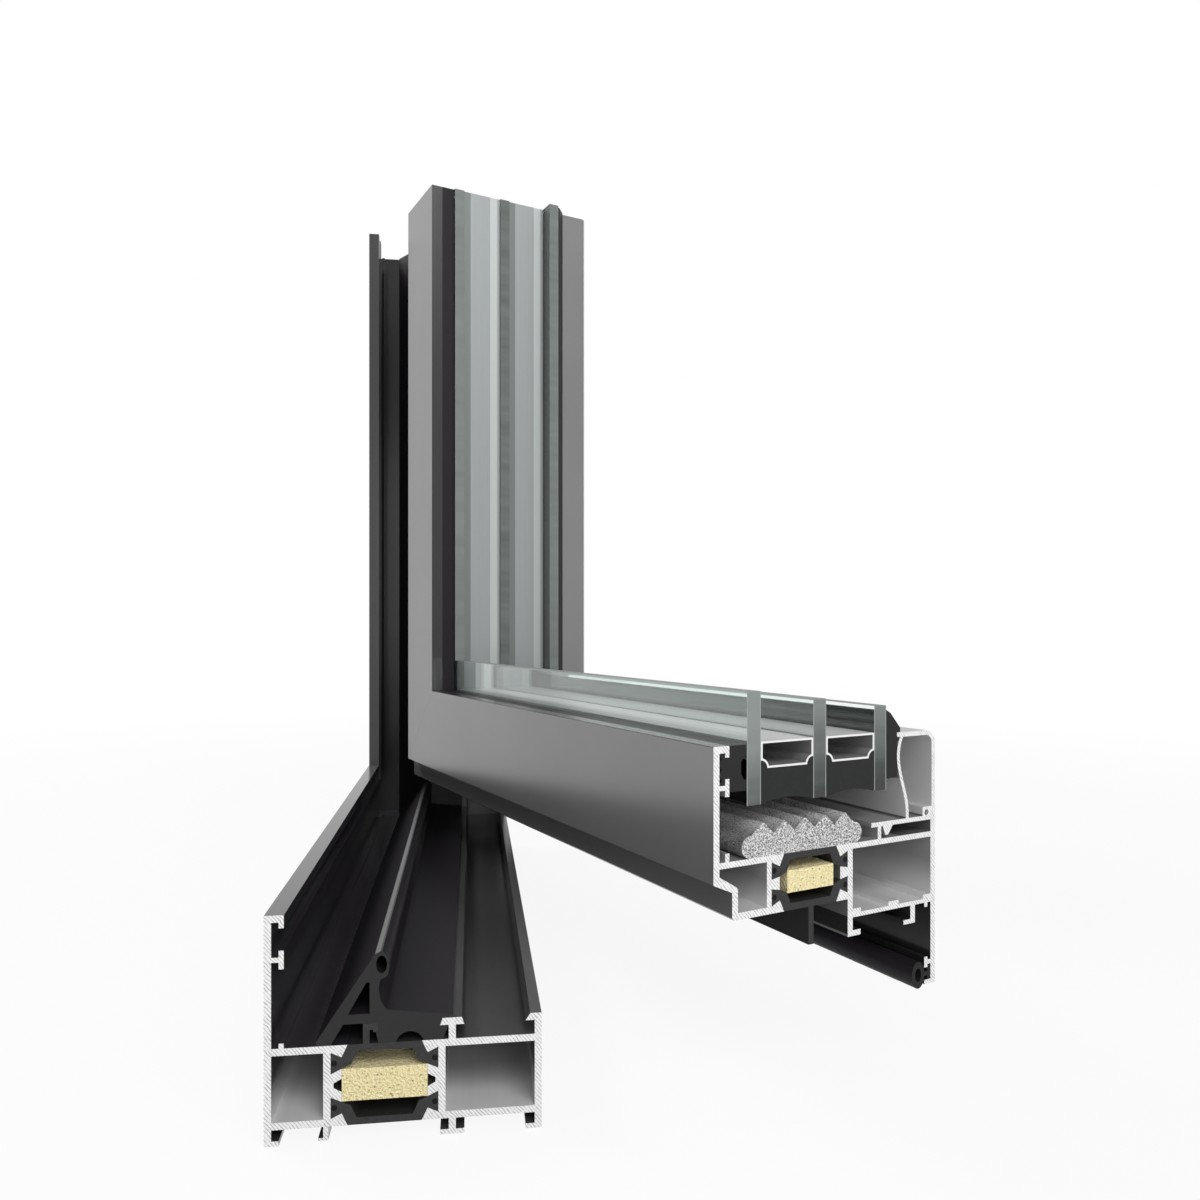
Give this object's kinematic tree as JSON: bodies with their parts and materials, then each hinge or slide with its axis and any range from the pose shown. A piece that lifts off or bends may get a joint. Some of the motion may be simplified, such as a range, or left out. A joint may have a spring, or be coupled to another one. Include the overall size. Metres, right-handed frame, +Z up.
{
  "type": "cutaway corner sample of an aluminium window",
  "caption": "Cut-open corner of an inward-opening aluminium window: fixed frame corner and the open corner of its glazed sash, showing the insulated profiles in section.",
  "frame": {"origin": "underside of the sill's inner foot, half way along it", "axes": "+X along the sill away from the jamb, +Y from outside to inside, +Z up"},
  "size_m": [0.3554, 0.2043, 0.364],
  "materials": {
    "black_coated_aluminium": "satin powder coating",
    "grey_coated_aluminium": "satin metallic powder coating",
    "black_polyamide": "matt",
    "black_rubber": "matt",
    "yellow_foam": "open cut foam",
    "grey_foam": "open cut foam",
    "glass": "polished",
    "spacer": "plain",
    "edge_sealant": "matt",
    "hinge_metal": "satin metallic powder coating"
  },
  "bodies": {
    "root": {"edge_seal_inner": "edge_sealant", "edge_seal_outer": "edge_sealant", "hinge_frame_leaf": "hinge_metal", "hinge_pin": "hinge_metal", "hinge_sash_leaf": "hinge_metal", "jamb_centre_gasket": "black_rubber", "jamb_foam": "yellow_foam", "jamb_profile_inner": "black_coated_aluminium", "jamb_profile_outer": "black_coated_aluminium", "jamb_strip_lower": "black_polyamide", "jamb_strip_upper": "black_polyamide", "pane_inner": "glass", "pane_middle": "glass", "pane_outer": "glass", "rail_bead": "grey_coated_aluminium", "rail_bead_gasket": "black_rubber", "rail_foam": "yellow_foam", "rail_glazing_gasket": "black_rubber", "rail_overlap_gasket": "black_rubber", "rail_profile_inner": "grey_coated_aluminium", "rail_profile_outer": "grey_coated_aluminium", "rail_rebate_foam": "grey_foam", "rail_strip_lower": "black_polyamide", "rail_strip_upper": "black_polyamide", "sill_centre_gasket": "black_rubber", "sill_foam": "yellow_foam", "sill_profile_inner": "black_coated_aluminium", "sill_profile_outer": "black_coated_aluminium", "sill_strip_lower": "black_polyamide", "sill_strip_upper": "black_polyamide", "spacer_inner": "spacer", "spacer_outer": "spacer", "stile_bead": "grey_coated_aluminium", "stile_bead_gasket": "black_rubber", "stile_foam": "yellow_foam", "stile_glazing_gasket": "black_rubber", "stile_overlap_gasket": "black_rubber", "stile_profile_inner": "grey_coated_aluminium", "stile_profile_outer": "grey_coated_aluminium", "stile_rebate_foam": "grey_foam", "stile_strip_lower": "black_polyamide", "stile_strip_upper": "black_polyamide"}
  },
  "joints": []
}
